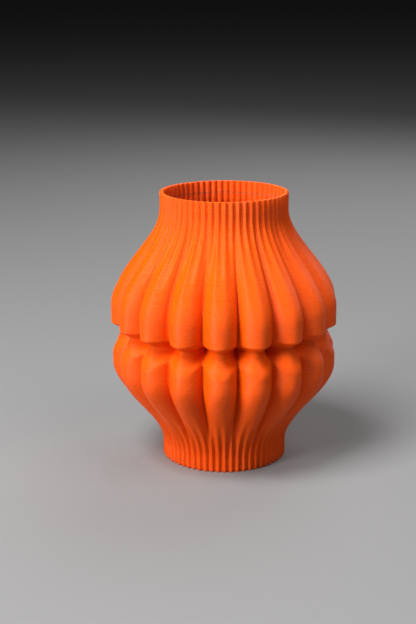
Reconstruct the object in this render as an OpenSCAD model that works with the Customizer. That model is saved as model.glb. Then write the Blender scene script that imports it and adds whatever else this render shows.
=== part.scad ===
// Fluted lantern vase, printed as one thin spiral wall on a closed floor.
// Round lobes run up the bowl, pinch in at the waist, and melt into fine
// flutes at the foot and the neck. Origin: centre of the underside. +Z up,
// and one lobe crest faces the front, along -Y. Millimetres.

/* [Overall size] */
// Height from the underside to the rim
height = 200; // [165:1:260]
// Diameter over the crests of the upper lobes
upper_d = 167.2; // [130:0.2:220]
// Diameter over the crests of the lower lobes
lower_d = 166; // [130:0.2:220]
// Diameter over the flute crests at the rim
rim_d = 93.6; // [70:0.2:120]
// Diameter over the flute crests at the foot
foot_d = 92.4; // [70:0.2:120]

/* [Walls] */
// Thickness of the printed wall
wall_t = 1.2; // [0.8:0.1:2]
// Thickness of the floor
floor_t = 1.2; // [0.8:0.1:3]

/* [Waist] */
// Height of the narrowest line of the waist above the underside
waist_z = 99.2; // [82:0.2:120]
// Depth of the groove there, below the crests of the narrower bowl
groove_depth = 7; // [3:0.5:14]
// Height of the sloping shoulders below it
slope_h = 15.8; // [6:0.2:20]
// Height of the undercut above it
undercut_h = 4.8; // [3:0.2:12]
// Rounding of the shoulders' edge
shoulder_round = 1.2; // [0.5:0.1:6]
// Rounding of the upper lobes' lower lip
lip_round = 3.4; // [0.5:0.1:8]

/* [Bowl curves] */
// Height of the upright foot, below the lower curve
foot_h = 10.8; // [4:0.2:16]
// Upright band between the lower curve and the shoulder
lower_band = 8.4; // [2:0.2:14]
// Upright band between the undercut and the upper curve
upper_band = 13.8; // [4:0.2:20]
// Upright length of the neck, above the upper curve
neck_h = 11.4; // [4:0.2:20]

/* [Lobes] */
// Number of lobes around the bowl
lobes = 18; // [12, 15, 18, 20]
// Depth of the valleys between the lobes
lobe_depth = 13.5; // [6:0.5:16]
// Fullness of a lobe's section: lower is fatter
lobe_power = 0.62; // [0.5:0.02:1.4]
// Extra narrowing of the lobes' section at the waist
waist_power = 0.3; // [0:0.02:0.6]
// Depth of the valleys that the lobes leave across the groove
groove_lobe = 3.4; // [1:0.2:8]
// Further depth of the pockets between the lobes at the waist
pocket_depth = 14; // [0:0.5:16]
// Height over which the lobes rise out of the foot
lobe_rise = 48; // [30:1:60]

/* [Flutes] */
// Number of fine flutes around the neck and the foot
flutes = 60; // [45, 54, 60]
// Depth of the foot's flutes, crest to valley
foot_flute = 1.8; // [0.6:0.1:2.4]
// Depth of the neck's flutes, crest to valley
neck_flute = 1.5; // [0.6:0.1:2.4]
// Height over which the foot's flutes fade out
foot_fade = 36; // [20:1:50]
// Height over which the neck's flutes fade in
neck_fade = 46; // [20:1:50]

/* [Sections] */
// Height of the foot ring above the underside
foot_ring = 24; // [16:1:30]
// Length of the neck ring below the rim
neck_ring = 32; // [24:1:44]

/* [Hidden] */
print_colour = [0.97, 0.36, 0.09];
slope_power = 1.1;     // nearly straight shoulders
undercut_power = 1.6;  // hollow undercut
crossover = 3;         // upright stretch between the foot and the first rise of the lobes
pocket_h = 9;          // reach of the pockets and of the lobes' narrowing, from the waist

upper_r = upper_d / 2;
lower_r = lower_d / 2;
waist_r = min(upper_r, lower_r) - groove_depth;
rim_r = rim_d / 2;
foot_r = foot_d / 2;
shoulder_z = waist_z - slope_h;             // edge of the lower lobes' shoulders
lip_z = waist_z + undercut_h;               // edge of the upper lobes' lips
lower_end = shoulder_z - lower_band;        // where the lower curve ends
upper_start = lip_z + upper_band;           // where the upper curve starts
upper_end = height - neck_h;                // where it ends
rise_start = foot_h + crossover;            // where the foot's flutes give way to lobes
fade_end = height - 2 * neck_h;             // above this the neck's flutes are full
waist_bottom = shoulder_z - shoulder_round; // the waist band takes in both round edges
waist_top = lip_z + lip_round / 2;
neck_z = height - neck_ring;

// Directions around the axis: every crest and valley of both patterns.
function gcd(a, b) = b == 0 ? a : gcd(b, a % b);
function lcm(a, b) = a * b / gcd(a, b);
steps = lcm(2 * flutes, 2 * lobes);
angles = [for (i = [0:steps - 1])
    if (i % (steps / (2 * flutes)) == 0 || i % (steps / (2 * lobes)) == 0)
        i * 360 / steps];
count = len(angles);

// Smooth step: 0 at a, 1 at b.
function clamp01(t) = min(1, max(0, t));
function ease(a, b, z) = let (t = clamp01((z - a) / (b - a))) t * t * (3 - 2 * t);

// The smaller of a and b, blended over k where they are close.
function soft_min(a, b, k) =
    let (near = max(k - abs(a - b), 0) / k) min(a, b) - near * near * k / 4;

// Radius over the lobe crests at height z, and the floor of the waist's groove.
function bowl_r(z) = z < waist_z
    ? foot_r + (lower_r - foot_r) * ease(foot_h, lower_end, z)
    : upper_r + (rim_r - upper_r) * ease(upper_start, upper_end, z);
function groove_r(z) = z < waist_z
    ? waist_r + (lower_r - waist_r) * pow((waist_z - z) / slope_h, slope_power)
    : waist_r + (upper_r - waist_r) * pow((z - waist_z) / undercut_h, undercut_power);

// Depth of the lobe valleys and of the flutes at height z.
function lobe_d(z) = lobe_depth * (z < waist_z
    ? ease(rise_start, rise_start + lobe_rise, z)
    : 1 - ease(upper_start, upper_end, z));
function flute_d(z) = z < waist_z
    ? foot_flute * (1 - ease(rise_start, rise_start + foot_fade, z))
    : neck_flute * ease(fade_end - neck_fade, fade_end, z);

// Section of a lobe: 0 on its crest, 1 in the valley.
function valley(a, power) = 1 - pow(abs(cos(lobes * a / 2)), power);
function near_waist(z) = exp(-pow((z - waist_z) / pocket_h, 2));

// The lobes and flutes at angle a and height z, before the groove cuts them.
function lobe_face(a, z) = bowl_r(z)
    - lobe_d(z) * valley(a, lobe_power + waist_power * near_waist(z))
    - flute_d(z) * (1 + cos(flutes * a)) / 2;

// The groove around the waist, with the pockets between its own low lobes.
function groove_face(a, z) = groove_r(z)
    - (groove_lobe + pocket_depth * near_waist(z)) * valley(a, 1);

// Outer radius of the wall.
function outer_r(a, z) = soft_min(lobe_face(a, z), groove_face(a, z),
    z < waist_z ? shoulder_round : lip_round);

// Inner radius: the wall keeps its thickness on the slopes of a flute or lobe.
function slope(a, z) = (outer_r(a + 1, z) - outer_r(a - 1, z))
    / (outer_r(a, z) * 2 * PI / 180);
function inner_r(a, z) = outer_r(a, z)
    - wall_t * min(2, sqrt(1 + pow(slope(a, z), 2)));

function on_ring(r, a, z) = [r * sin(a), -r * cos(a), z];
function outer_ring(z) = [for (a = angles) on_ring(outer_r(a, z), a, z)];
function inner_ring(z) = [for (a = angles) on_ring(inner_r(a, z), a, z)];
function flat(rings) = [for (ring = rings) each ring];
function span(a, b, n) = [for (i = [0:n]) a + (b - a) * i / n];

// One closed band of the wall, through the given heights.
module band(heights) {
    n = len(heights);
    half = n * count;
    points = concat(flat([for (z = heights) outer_ring(z)]),
                    flat([for (z = heights) inner_ring(z)]));
    sides = [for (i = [0:n - 2], j = [0:count - 1])
        let (a = i * count + j, b = i * count + (j + 1) % count,
             c = b + count, d = a + count)
        each [[a, d, c], [a, c, b],
              [half + a, half + c, half + d], [half + a, half + b, half + c]]];
    top = (n - 1) * count;
    ends = [for (j = [0:count - 1])
        let (k = (j + 1) % count)
        each [[top + j, half + top + j, half + top + k],
              [top + j, half + top + k, top + k],
              [j, half + k, half + j], [j, k, half + k]]];
    polyhedron(points, concat(sides, ends), convexity = 10);
}

// Closed bottom layers, out to the wall's outer face.
module floor() {
    color(print_colour)
        linear_extrude(floor_t)
            polygon([for (p = outer_ring(floor_t)) [p.x, p.y]]);
}

// Fluted ring that the vase stands on.
module foot() {
    color(print_colour) band(span(floor_t, foot_ring, 3));
}

// Lower lobes, up to their shoulders.
module lower_bowl() {
    color(print_colour) band(span(foot_ring, waist_bottom, 7));
}

// Pinched band: the lower lobes' shoulders, the groove and the upper lobes' lips.
module waist() {
    below = [for (t = [1, 0.85, 0.65, 0.45, 0.22]) waist_z - t * slope_h];
    above = [for (t = [0.3, 0.6, 0.85, 1]) waist_z + t * undercut_h];
    color(print_colour)
        band(concat([waist_bottom], below, [waist_z], above, [waist_top]));
}

// Upper lobes, from their lips to the neck.
module upper_bowl() {
    color(print_colour) band(span(waist_top, neck_z, 7));
}

// Fluted neck and open rim.
module neck() {
    color(print_colour) band(span(neck_z, height, 3));
}

floor();
foot();
lower_bowl();
waist();
upper_bowl();
neck();
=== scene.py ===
"""Looks of the fluted vase: its printed wall, its closed floor, the studio and the camera."""

import logging
import math
from dataclasses import dataclass, field
from enum import Enum

import bmesh
import bpy
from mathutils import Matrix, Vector


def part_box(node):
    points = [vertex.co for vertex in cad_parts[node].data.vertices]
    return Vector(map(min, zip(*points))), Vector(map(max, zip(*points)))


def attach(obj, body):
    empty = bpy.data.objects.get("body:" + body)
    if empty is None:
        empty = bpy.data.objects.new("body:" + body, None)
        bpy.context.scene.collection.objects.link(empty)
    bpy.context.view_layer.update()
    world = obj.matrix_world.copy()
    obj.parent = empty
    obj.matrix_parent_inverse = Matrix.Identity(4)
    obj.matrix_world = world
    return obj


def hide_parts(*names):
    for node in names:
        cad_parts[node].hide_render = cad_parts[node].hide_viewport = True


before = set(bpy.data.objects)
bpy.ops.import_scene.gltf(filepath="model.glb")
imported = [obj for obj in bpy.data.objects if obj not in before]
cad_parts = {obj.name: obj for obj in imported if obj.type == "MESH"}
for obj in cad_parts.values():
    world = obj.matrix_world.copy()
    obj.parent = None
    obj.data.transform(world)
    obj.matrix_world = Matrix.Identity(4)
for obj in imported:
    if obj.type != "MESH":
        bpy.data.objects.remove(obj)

LOG = logging.getLogger("vase")
MM = 0.001
BODY = "root"
BOTTOM_LINES = (math.radians(90), 0.0, math.radians(45))  # lays the stack of lines across the floor
LEVEL_REACH = 0.1 * MM  # a vertex this close to a level counts as on it


class Side(Enum):
    """The two sides of the printed wall."""

    OUTER = "outer"
    INNER = "inner"


def ease(start: float, end: float, value: float) -> float:
    """Smooth step.

    Args:
        start: Where the step leaves 0.
        end: Where it reaches 1.
        value: The place on the way.

    Returns:
        A share from 0 to 1.
    """
    share = min(1.0, max(0.0, (value - start) / (end - start)))
    return share * share * (3.0 - 2.0 * share)


def soft_min(first: float, second: float, blend: float) -> float:
    """The smaller of two lengths, blended where they are close.

    Args:
        first: One length.
        second: The other length.
        blend: How near they are when they start to blend.

    Returns:
        The blended length.
    """
    near = max(blend - abs(first - second), 0.0) / blend
    return min(first, second) - near * near * blend / 4


def spaced(start: float, end: float, gaps: int) -> list[float]:
    """Even places from start up to, but not including, end."""
    return [start + (end - start) * i / gaps for i in range(gaps)]


def reach(node: str, height: float) -> float:
    """Measures how far a CAD node reaches from the vase's axis on one level.

    Args:
        node: Name of the CAD node.
        height: The level, in metres.

    Returns:
        The largest distance from the axis, in metres.
    """
    places = [vert.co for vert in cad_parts[node].data.vertices]
    return max(math.hypot(co.x, co.y) for co in places if abs(co.z - height) < LEVEL_REACH)


def shown(mesh: bmesh.types.BMesh, name: str) -> bpy.types.Object:
    """Turns a finished bmesh into a smooth object at the origin.

    Args:
        mesh: The bmesh, which is freed.
        name: Name of the piece.

    Returns:
        The new object, linked to the scene.
    """
    data = bpy.data.meshes.new(name)
    mesh.to_mesh(data)
    mesh.free()
    data.shade_smooth()
    piece = bpy.data.objects.new(name, data)
    bpy.context.scene.collection.objects.link(piece)
    return piece


@dataclass(frozen=True)
class VaseShape:
    """The vase's form: two bowls cut by the waist's groove, with lobes and flutes pressed in.

    Lengths are in metres. Heights are measured from the underside.
    """

    lobes: int = 18
    flutes: int = 60
    crest_power: float = 3.4
    wall: float = 1.2 * MM
    slope_height: float = 15.8 * MM
    slope_power: float = 1.1
    undercut_height: float = 4.8 * MM
    undercut_power: float = 1.6
    shoulder_round: float = 1.2 * MM
    lip_round: float = 3.4 * MM
    foot_height: float = 10.8 * MM
    lower_band: float = 8.4 * MM
    upper_band: float = 13.8 * MM
    neck_height: float = 11.4 * MM
    lobe_depth: float = 13.5 * MM
    lobe_power: float = 0.62
    waist_power: float = 0.3
    groove_lobe: float = 3.4 * MM
    pocket_depth: float = 14.0 * MM
    pocket_height: float = 9.0 * MM
    crossover: float = 3.0 * MM
    lobe_rise: float = 48.0 * MM
    foot_flute: float = 2.2 * MM
    foot_fade: float = 44.0 * MM
    neck_flute: float = 1.8 * MM
    neck_fade: float = 58.0 * MM
    rim_round: float = 0.25 * MM
    slope_step: float = math.radians(1.5)
    most_thickening: float = 2.0
    mark_drop: float = 8.6 * MM
    waist: float = 99.2 * MM
    waist_radius: float = 76.0 * MM
    lower_radius: float = 83.0 * MM
    upper_radius: float = 83.6 * MM
    floor_top: float = field(default_factory=lambda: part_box("floor")[1].z)
    height: float = field(default_factory=lambda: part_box("neck")[1].z)
    foot_radius: float = field(default_factory=lambda: reach("foot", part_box("foot")[0].z))
    rim_radius: float = field(default_factory=lambda: reach("neck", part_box("neck")[1].z))

    @property
    def shoulder(self) -> float:
        """Height of the edge of the lower lobes' shoulders."""
        return self.waist - self.slope_height

    @property
    def lip(self) -> float:
        """Height of the edge of the upper lobes' lips."""
        return self.waist + self.undercut_height

    @property
    def rise_start(self) -> float:
        """Height at which lobes start to take over from the foot's flutes."""
        return self.foot_height + self.crossover

    @property
    def upper_start(self) -> float:
        """Height at which the upper curve leaves the belly."""
        return self.lip + self.upper_band

    @property
    def upper_end(self) -> float:
        """Height at which the upper curve reaches the neck."""
        return self.height - self.neck_height

    def near_waist(self, z: float) -> float:
        """How close a level is to the waist's narrowest line, from 0 to 1."""
        return math.exp(-(((z - self.waist) / self.pocket_height) ** 2))

    def lobe_face(self, angle: float, z: float) -> float:
        """Radius of the lobes and flutes, before the waist's groove cuts them.

        Args:
            angle: Angle from the front, in radians.
            z: Height above the underside.

        Returns:
            The radius there.
        """
        if z < self.waist:
            share = ease(self.foot_height, self.shoulder - self.lower_band, z)
            bowl = self.foot_radius + (self.lower_radius - self.foot_radius) * share
            lobed = ease(self.rise_start, self.rise_start + self.lobe_rise, z)
            faded = ease(self.rise_start, self.rise_start + self.foot_fade, z)
            fluted = self.foot_flute * (1 - faded)
        else:
            full = self.height - 2 * self.neck_height
            share = ease(self.upper_start, self.upper_end, z)
            bowl = self.upper_radius + (self.rim_radius - self.upper_radius) * share
            lobed = 1 - share
            fluted = self.neck_flute * ease(full - self.neck_fade, full, z)
        power = self.lobe_power + self.waist_power * self.near_waist(z)
        valley = 1 - abs(math.cos(self.lobes * angle / 2)) ** power
        flute = 1 - abs(math.sin(self.flutes * angle / 2)) ** self.crest_power
        return bowl - self.lobe_depth * lobed * valley - fluted * flute

    def groove_face(self, angle: float, z: float) -> float:
        """Radius of the waist's groove, with its shallow lobes and the pockets between them.

        Args:
            angle: Angle from the front, in radians.
            z: Height above the underside.

        Returns:
            The radius there.
        """
        if z < self.waist:
            depth = ((self.waist - z) / self.slope_height) ** self.slope_power
            groove = self.waist_radius + (self.lower_radius - self.waist_radius) * depth
        else:
            depth = ((z - self.waist) / self.undercut_height) ** self.undercut_power
            groove = self.waist_radius + (self.upper_radius - self.waist_radius) * depth
        valley = 1 - abs(math.cos(self.lobes * angle / 2))
        return groove - (self.groove_lobe + self.pocket_depth * self.near_waist(z)) * valley

    def outer(self, angle: float, z: float) -> float:
        """Outer radius of the wall: the lobes, cut by the waist's groove.

        Args:
            angle: Angle from the front, in radians.
            z: Height above the underside.

        Returns:
            The radius there.
        """
        blend = self.shoulder_round if z < self.waist else self.lip_round
        return soft_min(self.lobe_face(angle, z), self.groove_face(angle, z), blend)

    def inner(self, angle: float, z: float) -> float:
        """Inner radius: the wall keeps its thickness on the slopes of a lobe or flute.

        Args:
            angle: Angle from the front, in radians.
            z: Height above the underside.

        Returns:
            The radius there.
        """
        radius = self.outer(angle, z)
        rise = self.outer(angle + self.slope_step, z) - self.outer(angle - self.slope_step, z)
        slope = rise / (2 * self.slope_step * radius)
        return radius - self.wall * min(self.most_thickening, math.hypot(1.0, slope))

    def radius(self, side: Side, angle: float, z: float) -> float:
        """Radius of one side of the wall, with the bead's round edge at the rim.

        Args:
            side: Which side of the wall.
            angle: Angle from the front, in radians.
            z: Height above the underside.

        Returns:
            The radius there.
        """
        above = max(0.0, z - (self.height - self.rim_round)) / self.rim_round
        pulled = self.rim_round * (1 - math.sqrt(max(0.0, 1 - above * above)))
        if side is Side.OUTER:
            return self.outer(angle, z) - pulled
        return self.inner(angle, z) + pulled


@dataclass
class PrintedWall:
    """The one continuous wall of the vase, from the table to the rim."""

    shape: VaseShape
    columns: int = 360
    foot_gaps: int = 66
    waist_gaps: int = 56
    bowl_gaps: int = 72
    rim_gaps: int = 3
    inner_share: float = 0.38
    tube_outside: float = 2.0
    tube_inside: float = 1.0
    name: str = "vase_wall"

    @property
    def tube_middle(self) -> float:
        """A radius between the two sides of the plain tube."""
        return (self.tube_outside + self.tube_inside) / 2

    def heights(self, share: float) -> list[float]:
        """Levels of the wall's rings, closest at the waist and at the rim.

        Args:
            share: Share of the full number of rings, for the side that shows less.

        Returns:
            The levels from the underside to the rim.
        """
        shape = self.shape
        waist_start = shape.shoulder - 2 * shape.shoulder_round
        waist_end = shape.lip + shape.lip_round
        rim_start = shape.height - shape.rim_round
        zones = [
            (0.0, waist_start, self.foot_gaps),
            (waist_start, waist_end, self.waist_gaps),
            (waist_end, rim_start, self.bowl_gaps),
        ]
        levels = [
            z for start, end, gaps in zones for z in spaced(start, end, round(gaps * share))
        ]
        return levels + spaced(rim_start, shape.height, self.rim_gaps) + [shape.height]

    def build(self) -> bpy.types.Object:
        """Spins a plain double-walled tube and presses the lobes and flutes into it.

        Returns:
            The wall's object.
        """
        path = [(self.tube_outside, z) for z in self.heights(1.0)]
        path += [(self.tube_inside, z) for z in reversed(self.heights(self.inner_share))]
        mesh = bmesh.new()
        verts = [bmesh.ops.create_vert(mesh, co=(0.0, -r, z))["vert"][0] for r, z in path]
        bmesh.ops.contextual_create(mesh, geom=[verts[-1], verts[0]])
        for low, high in zip(verts, verts[1:]):
            bmesh.ops.contextual_create(mesh, geom=[low, high])
        bmesh.ops.spin(
            mesh,
            geom=mesh.verts[:] + mesh.edges[:],
            cent=(0.0, 0.0, 0.0),
            axis=(0.0, 0.0, 1.0),
            angle=2 * math.pi,
            steps=self.columns,
            use_merge=True,
        )
        for face in mesh.faces:
            centre = face.calc_center_median()
            face.material_index = int(math.hypot(centre.x, centre.y) < self.tube_middle)
        self.press(mesh)
        bmesh.ops.recalc_face_normals(mesh, faces=mesh.faces[:])
        return shown(mesh, self.name)

    def press(self, mesh: bmesh.types.BMesh) -> None:
        """Moves every vertex of the plain tube to its place on the vase.

        Args:
            mesh: The spun tube, changed in place.
        """
        step = 2 * math.pi / self.columns
        for vert in mesh.verts:
            outside = math.hypot(vert.co.x, vert.co.y) > self.tube_middle
            side = Side.OUTER if outside else Side.INNER
            angle = round(math.atan2(vert.co.x, -vert.co.y) / step) * step
            radius = self.shape.radius(side, angle, vert.co.z)
            vert.co.x = radius * math.sin(angle)
            vert.co.y = -radius * math.cos(angle)


@dataclass
class PrintedFloor:
    """The closed bottom layers inside the wall."""

    shape: VaseShape
    columns: int = 360
    border: float = 3.0 * MM
    name: str = "vase_floor"

    def build(self) -> bpy.types.Object:
        """Makes the disc that fills the wall's inner outline.

        Returns:
            The floor's object.
        """
        mesh = bmesh.new()
        bmesh.ops.create_circle(mesh, cap_ends=True, segments=self.columns, radius=1.0)
        for vert in mesh.verts:
            angle = math.atan2(vert.co.x, -vert.co.y)
            radius = self.shape.inner(angle, 0.0)
            vert.co = Vector((radius * math.sin(angle), -radius * math.cos(angle), 0.0))
        lifted = bmesh.ops.extrude_face_region(mesh, geom=mesh.faces[:])["geom"]
        verts = [item for item in lifted if isinstance(item, bmesh.types.BMVert)]
        bmesh.ops.translate(mesh, verts=verts, vec=(0.0, 0.0, self.shape.floor_top))
        caps = [face for face in mesh.faces if len(face.verts) == self.columns]
        bmesh.ops.inset_region(mesh, faces=caps, thickness=self.border)
        bmesh.ops.recalc_face_normals(mesh, faces=mesh.faces[:])
        floor = shown(mesh, self.name)
        floor.data.shade_flat()
        return floor


@dataclass
class NodeBench:
    """A node tree with short ways to add and join its nodes."""

    tree: bpy.types.NodeTree

    def add(self, kind: str, **settings: object) -> bpy.types.Node:
        """Adds a node and sets its properties.

        Args:
            kind: The node's type name.
            **settings: Properties of the node.

        Returns:
            The new node.
        """
        node = self.tree.nodes.new(kind)
        for key, value in settings.items():
            setattr(node, key, value)
        return node

    def math(self, operation: str, *values: object) -> bpy.types.NodeSocket:
        """Adds a Math node whose inputs are numbers or sockets.

        Args:
            operation: The node's operation.
            *values: A number or an output socket for each input.

        Returns:
            The node's output socket.
        """
        node = self.add("ShaderNodeMath", operation=operation)
        for index, value in enumerate(values):
            if isinstance(value, bpy.types.NodeSocket):
                self.tree.links.new(value, node.inputs[index])
            else:
                node.inputs[index].default_value = value
        return node.outputs[0]

    def join(self, source: bpy.types.NodeSocket, target: bpy.types.NodeSocket) -> None:
        """Links an output to an input."""
        self.tree.links.new(source, target)


def printed_lines() -> bpy.types.NodeTree:
    """The lines of a print, stacked along Z, as a group shared by the materials.

    Returns:
        A group with the inputs Place, Pitch, Band and Wander, and the outputs Bead, Tone and
        Speck.
    """
    drift_scale, drift_detail = 60.0, 2.0
    band_detail = 3.0
    speck_scale, speck_detail, speck_flatness = 420.0, 3.0, 5.0
    group = bpy.data.node_groups.new("printed_lines", "ShaderNodeTree")
    group.interface.new_socket("Place", in_out="INPUT", socket_type="NodeSocketVector")
    for name in ("Pitch", "Band", "Wander"):
        group.interface.new_socket(name, in_out="INPUT", socket_type="NodeSocketFloat")
    for name in ("Bead", "Tone", "Speck"):
        group.interface.new_socket(name, in_out="OUTPUT", socket_type="NodeSocketFloat")
    bench = NodeBench(group)
    inputs = bench.add("NodeGroupInput")
    outputs = bench.add("NodeGroupOutput")
    split = bench.add("ShaderNodeSeparateXYZ")
    bench.join(inputs.outputs["Place"], split.inputs[0])
    drift = bench.add("ShaderNodeTexNoise", noise_dimensions="3D")
    drift.inputs["Scale"].default_value = drift_scale
    drift.inputs["Detail"].default_value = drift_detail
    bench.join(inputs.outputs["Place"], drift.inputs["Vector"])
    wander = bench.math("MULTIPLY", drift.outputs["Fac"], inputs.outputs["Wander"])
    stacked = bench.math("DIVIDE", split.outputs["Z"], inputs.outputs["Pitch"])
    count = bench.math("ADD", stacked, wander)
    across = bench.math("MULTIPLY_ADD", bench.math("FRACT", count), 2.0, -1.0)
    fall = bench.math("POWER", bench.math("ABSOLUTE", across), 2.0)
    round_top = bench.math("SUBTRACT", 1.0, fall)
    bands = bench.add("ShaderNodeTexNoise", noise_dimensions="1D")
    bands.inputs["Scale"].default_value = 1.0
    bands.inputs["Detail"].default_value = band_detail
    bench.join(bench.math("DIVIDE", split.outputs["Z"], inputs.outputs["Band"]), bands.inputs["W"])
    bench.join(bench.math("ADD", round_top, bands.outputs["Fac"]), outputs.inputs["Bead"])
    bench.join(bands.outputs["Fac"], outputs.inputs["Tone"])
    flat = bench.add("ShaderNodeMapping")
    flat.inputs["Scale"].default_value = (1.0, 1.0, speck_flatness)
    bench.join(inputs.outputs["Place"], flat.inputs["Vector"])
    speck = bench.add("ShaderNodeTexNoise", noise_dimensions="3D")
    speck.inputs["Scale"].default_value = speck_scale
    speck.inputs["Detail"].default_value = speck_detail
    bench.join(flat.outputs["Vector"], speck.inputs["Vector"])
    bench.join(speck.outputs["Fac"], outputs.inputs["Speck"])
    return group


@dataclass(frozen=True)
class PrintedPlastic:
    """Satin orange plastic, laid down in fine lines."""

    name: str
    lines: bpy.types.NodeTree
    light: tuple[float, float, float] = (0.97, 0.112, 0.0008)
    deep: tuple[float, float, float] = (0.84, 0.070, 0.0004)
    contrast: float = 6.0
    lightness: float = -1.0
    gloss: float = 0.17
    roughness: float = 0.32
    roughness_spread: float = 0.12
    pitch: float = 0.5 * MM
    band: float = 0.55 * MM
    wander: float = 0.35
    bead_depth: float = 0.15 * MM
    scatter: float = 0.04
    scatter_colour: tuple[float, float, float] = (1.0, 0.25, 0.05)
    scatter_reach: float = 2.5 * MM
    turn: tuple[float, float, float] = (0.0, 0.0, 0.0)

    def build(self) -> bpy.types.Material:
        """Makes the material.

        Returns:
            The new material.
        """
        material = bpy.data.materials.new(self.name)
        material.use_nodes = True
        bench = NodeBench(material.node_tree)
        shader = material.node_tree.nodes["Principled BSDF"]
        place = bench.add("ShaderNodeTexCoord")
        turned = bench.add("ShaderNodeMapping")
        turned.inputs["Rotation"].default_value = self.turn
        bench.join(place.outputs["Object"], turned.inputs["Vector"])
        lines = bench.add("ShaderNodeGroup", node_tree=self.lines)
        lines.inputs["Pitch"].default_value = self.pitch
        lines.inputs["Band"].default_value = self.band
        lines.inputs["Wander"].default_value = self.wander
        bench.join(turned.outputs["Vector"], lines.inputs["Place"])
        shade = bench.math("MULTIPLY", lines.outputs["Tone"], lines.outputs["Speck"])
        colour = bench.add("ShaderNodeMix", data_type="RGBA")
        colour.inputs["A"].default_value = (*self.light, 1.0)
        colour.inputs["B"].default_value = (*self.deep, 1.0)
        depth = bench.math("MULTIPLY_ADD", shade, self.contrast, self.lightness)
        bench.join(depth, colour.inputs["Factor"])
        bench.join(self.marked(bench, place, colour.outputs["Result"]), shader.inputs["Base Color"])
        rough = bench.math(
            "MULTIPLY_ADD", lines.outputs["Speck"], self.roughness_spread, self.roughness
        )
        bench.join(rough, shader.inputs["Roughness"])
        bump = bench.add("ShaderNodeBump")
        bump.inputs["Distance"].default_value = self.bead_depth
        bench.join(lines.outputs["Bead"], bump.inputs["Height"])
        bench.join(bump.outputs["Normal"], shader.inputs["Normal"])
        shader.inputs["Specular IOR Level"].default_value = self.gloss
        shader.inputs["Subsurface Weight"].default_value = self.scatter
        shader.inputs["Subsurface Radius"].default_value = self.scatter_colour
        shader.inputs["Subsurface Scale"].default_value = self.scatter_reach
        return material

    def marked(
        self, bench: NodeBench, place: bpy.types.Node, colour: bpy.types.NodeSocket
    ) -> bpy.types.NodeSocket:
        """Adds marks to the plain colour: none here.

        Args:
            bench: The material's nodes; not used here.
            place: The texture coordinates; not used here.
            colour: The plain colour.

        Returns:
            The finished colour.
        """
        return colour


@dataclass(frozen=True)
class MarkedPlastic(PrintedPlastic):
    """The same plastic on the inner side, with one faint level line under the rim."""

    mark: tuple[float, float, float] = (0.38, 0.085, 0.07)
    level: float = 0.0
    thickness: float = 0.6 * MM
    strength: float = 0.75

    def marked(
        self, bench: NodeBench, place: bpy.types.Node, colour: bpy.types.NodeSocket
    ) -> bpy.types.NodeSocket:
        """Draws the level line into the plain colour.

        Args:
            bench: The material's nodes.
            place: The texture coordinates.
            colour: The plain colour.

        Returns:
            The finished colour.
        """
        split = bench.add("ShaderNodeSeparateXYZ")
        bench.join(place.outputs["Object"], split.inputs[0])
        away = bench.math("ABSOLUTE", bench.math("SUBTRACT", split.outputs["Z"], self.level))
        line = bench.math("LESS_THAN", away, self.thickness / 2)
        mix = bench.add("ShaderNodeMix", data_type="RGBA")
        bench.join(bench.math("MULTIPLY", line, self.strength), mix.inputs["Factor"])
        bench.join(colour, mix.inputs["A"])
        mix.inputs["B"].default_value = (*self.mark, 1.0)
        return mix.outputs["Result"]


@dataclass(frozen=True)
class Softbox:
    """A soft light, placed by its angles from the middle of the vase.

    The turn is from the front, to the right. The rise is above the middle. Both are in radians,
    the side of the light's square face is in metres and its power in watts.
    """

    name: str
    turn: float
    rise: float
    size: float
    power: float


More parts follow.
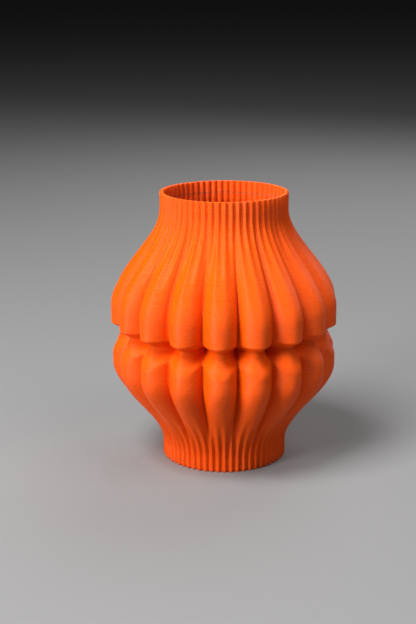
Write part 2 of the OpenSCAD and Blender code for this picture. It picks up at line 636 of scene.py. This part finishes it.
@dataclass
class Studio:
    """A pale floor, soft lights and the camera."""

    softboxes: tuple[Softbox, ...] = (
        Softbox("key_light", math.radians(-44), math.radians(60), size=0.65, power=35.0),
        Softbox("low_light", math.radians(-48), math.radians(20), size=0.55, power=21.0),
        Softbox("fill_light", math.radians(58), math.radians(50), size=0.9, power=8.0),
        Softbox("back_light", math.radians(158), math.radians(42), size=1.2, power=12.0),
    )
    floor_radius: float = 30.0
    light_distance: float = 1.6
    floor_sides: int = 96
    floor_grey: float = 0.21
    floor_roughness: float = 0.85
    world_colour: tuple[float, float, float] = (0.5, 0.5, 0.52)
    world_strength: float = 0.03
    pitch: float = math.radians(15.55)
    distance: float = 899.5 * MM
    eye_height: float = 359.4 * MM
    turn: float = math.radians(2.2)
    lens: float = 72.53
    shift: float = -0.0258

    def build(self) -> None:
        """Makes everything that isn't part of the vase."""
        self.lay_floor()
        for softbox in self.softboxes:
            self.hang(softbox)
        self.fill_world()
        self.aim_camera()
        bpy.context.scene.view_settings.view_transform = "Standard"

    def lay_floor(self) -> None:
        """Lays a wide round floor under the vase."""
        mesh = bmesh.new()
        bmesh.ops.create_circle(
            mesh, cap_ends=True, segments=self.floor_sides, radius=self.floor_radius
        )
        floor = shown(mesh, "studio_floor")
        material = bpy.data.materials.new("pale_floor")
        material.use_nodes = True
        shader = material.node_tree.nodes["Principled BSDF"]
        shader.inputs["Base Color"].default_value = (self.floor_grey,) * 3 + (1.0,)
        shader.inputs["Roughness"].default_value = self.floor_roughness
        floor.data.materials.append(material)

    def hang(self, softbox: Softbox) -> None:
        """Hangs one soft light, aimed at the middle of the vase.

        Args:
            softbox: The light's place, size and power.
        """
        data = bpy.data.lights.new(softbox.name, "AREA")
        data.size = softbox.size
        data.energy = softbox.power
        lamp = bpy.data.objects.new(softbox.name, data)
        bpy.context.scene.collection.objects.link(lamp)
        turn, rise = softbox.turn, softbox.rise
        middle = Vector((0.0, 0.0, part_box("waist")[0].z))
        level = math.cos(rise)
        toward = Vector((level * math.sin(turn), -level * math.cos(turn), math.sin(rise)))
        lamp.location = middle + self.light_distance * toward
        lamp.rotation_euler = toward.to_track_quat("Z", "Y").to_euler()

    def fill_world(self) -> None:
        """Gives the studio an even, neutral glow."""
        world = bpy.data.worlds.new("studio")
        world.use_nodes = True
        glow = world.node_tree.nodes["Background"]
        glow.inputs["Color"].default_value = (*self.world_colour, 1.0)
        glow.inputs["Strength"].default_value = self.world_strength
        bpy.context.scene.world = world

    def aim_camera(self) -> None:
        """Sets the camera in front of the vase, a little to the right, looking down at it."""
        data = bpy.data.cameras.new("view")
        data.lens = self.lens
        data.shift_x = self.shift
        camera = bpy.data.objects.new("view", data)
        bpy.context.scene.collection.objects.link(camera)
        camera.location = (
            self.distance * math.sin(self.turn),
            -self.distance * math.cos(self.turn),
            self.eye_height,
        )
        camera.rotation_euler = (math.pi / 2 - self.pitch, 0.0, self.turn)
        bpy.context.scene.camera = camera


def settle(piece: bpy.types.Object, finishes: list[PrintedPlastic], *nodes: str) -> None:
    """Dresses a finished piece and ties it to the CAD frame.

    Args:
        piece: The piece.
        finishes: Its finishes, in the order of its faces' material numbers.
        *nodes: The CAD nodes that it stands for.
    """
    for finish in finishes:
        piece.data.materials.append(finish.build())
    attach(piece, BODY)
    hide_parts(*nodes)
    LOG.info("%s stands for %s", piece.name, ", ".join(nodes))


def main() -> None:
    """Builds the vase and its studio."""
    logging.basicConfig(level=logging.INFO, format="%(name)s: %(message)s")
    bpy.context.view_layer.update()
    shape = VaseShape()
    lines = printed_lines()
    outside = PrintedPlastic("printed_outside", lines)
    inside = MarkedPlastic("printed_inside", lines, level=shape.height - shape.mark_drop)
    bottom = PrintedPlastic("printed_bottom", lines, turn=BOTTOM_LINES)
    wall = PrintedWall(shape).build()
    settle(wall, [outside, inside], "foot", "lower_bowl", "waist", "upper_bowl", "neck")
    settle(PrintedFloor(shape).build(), [bottom], "floor")
    Studio().build()


if __name__ == "__main__":
    main()
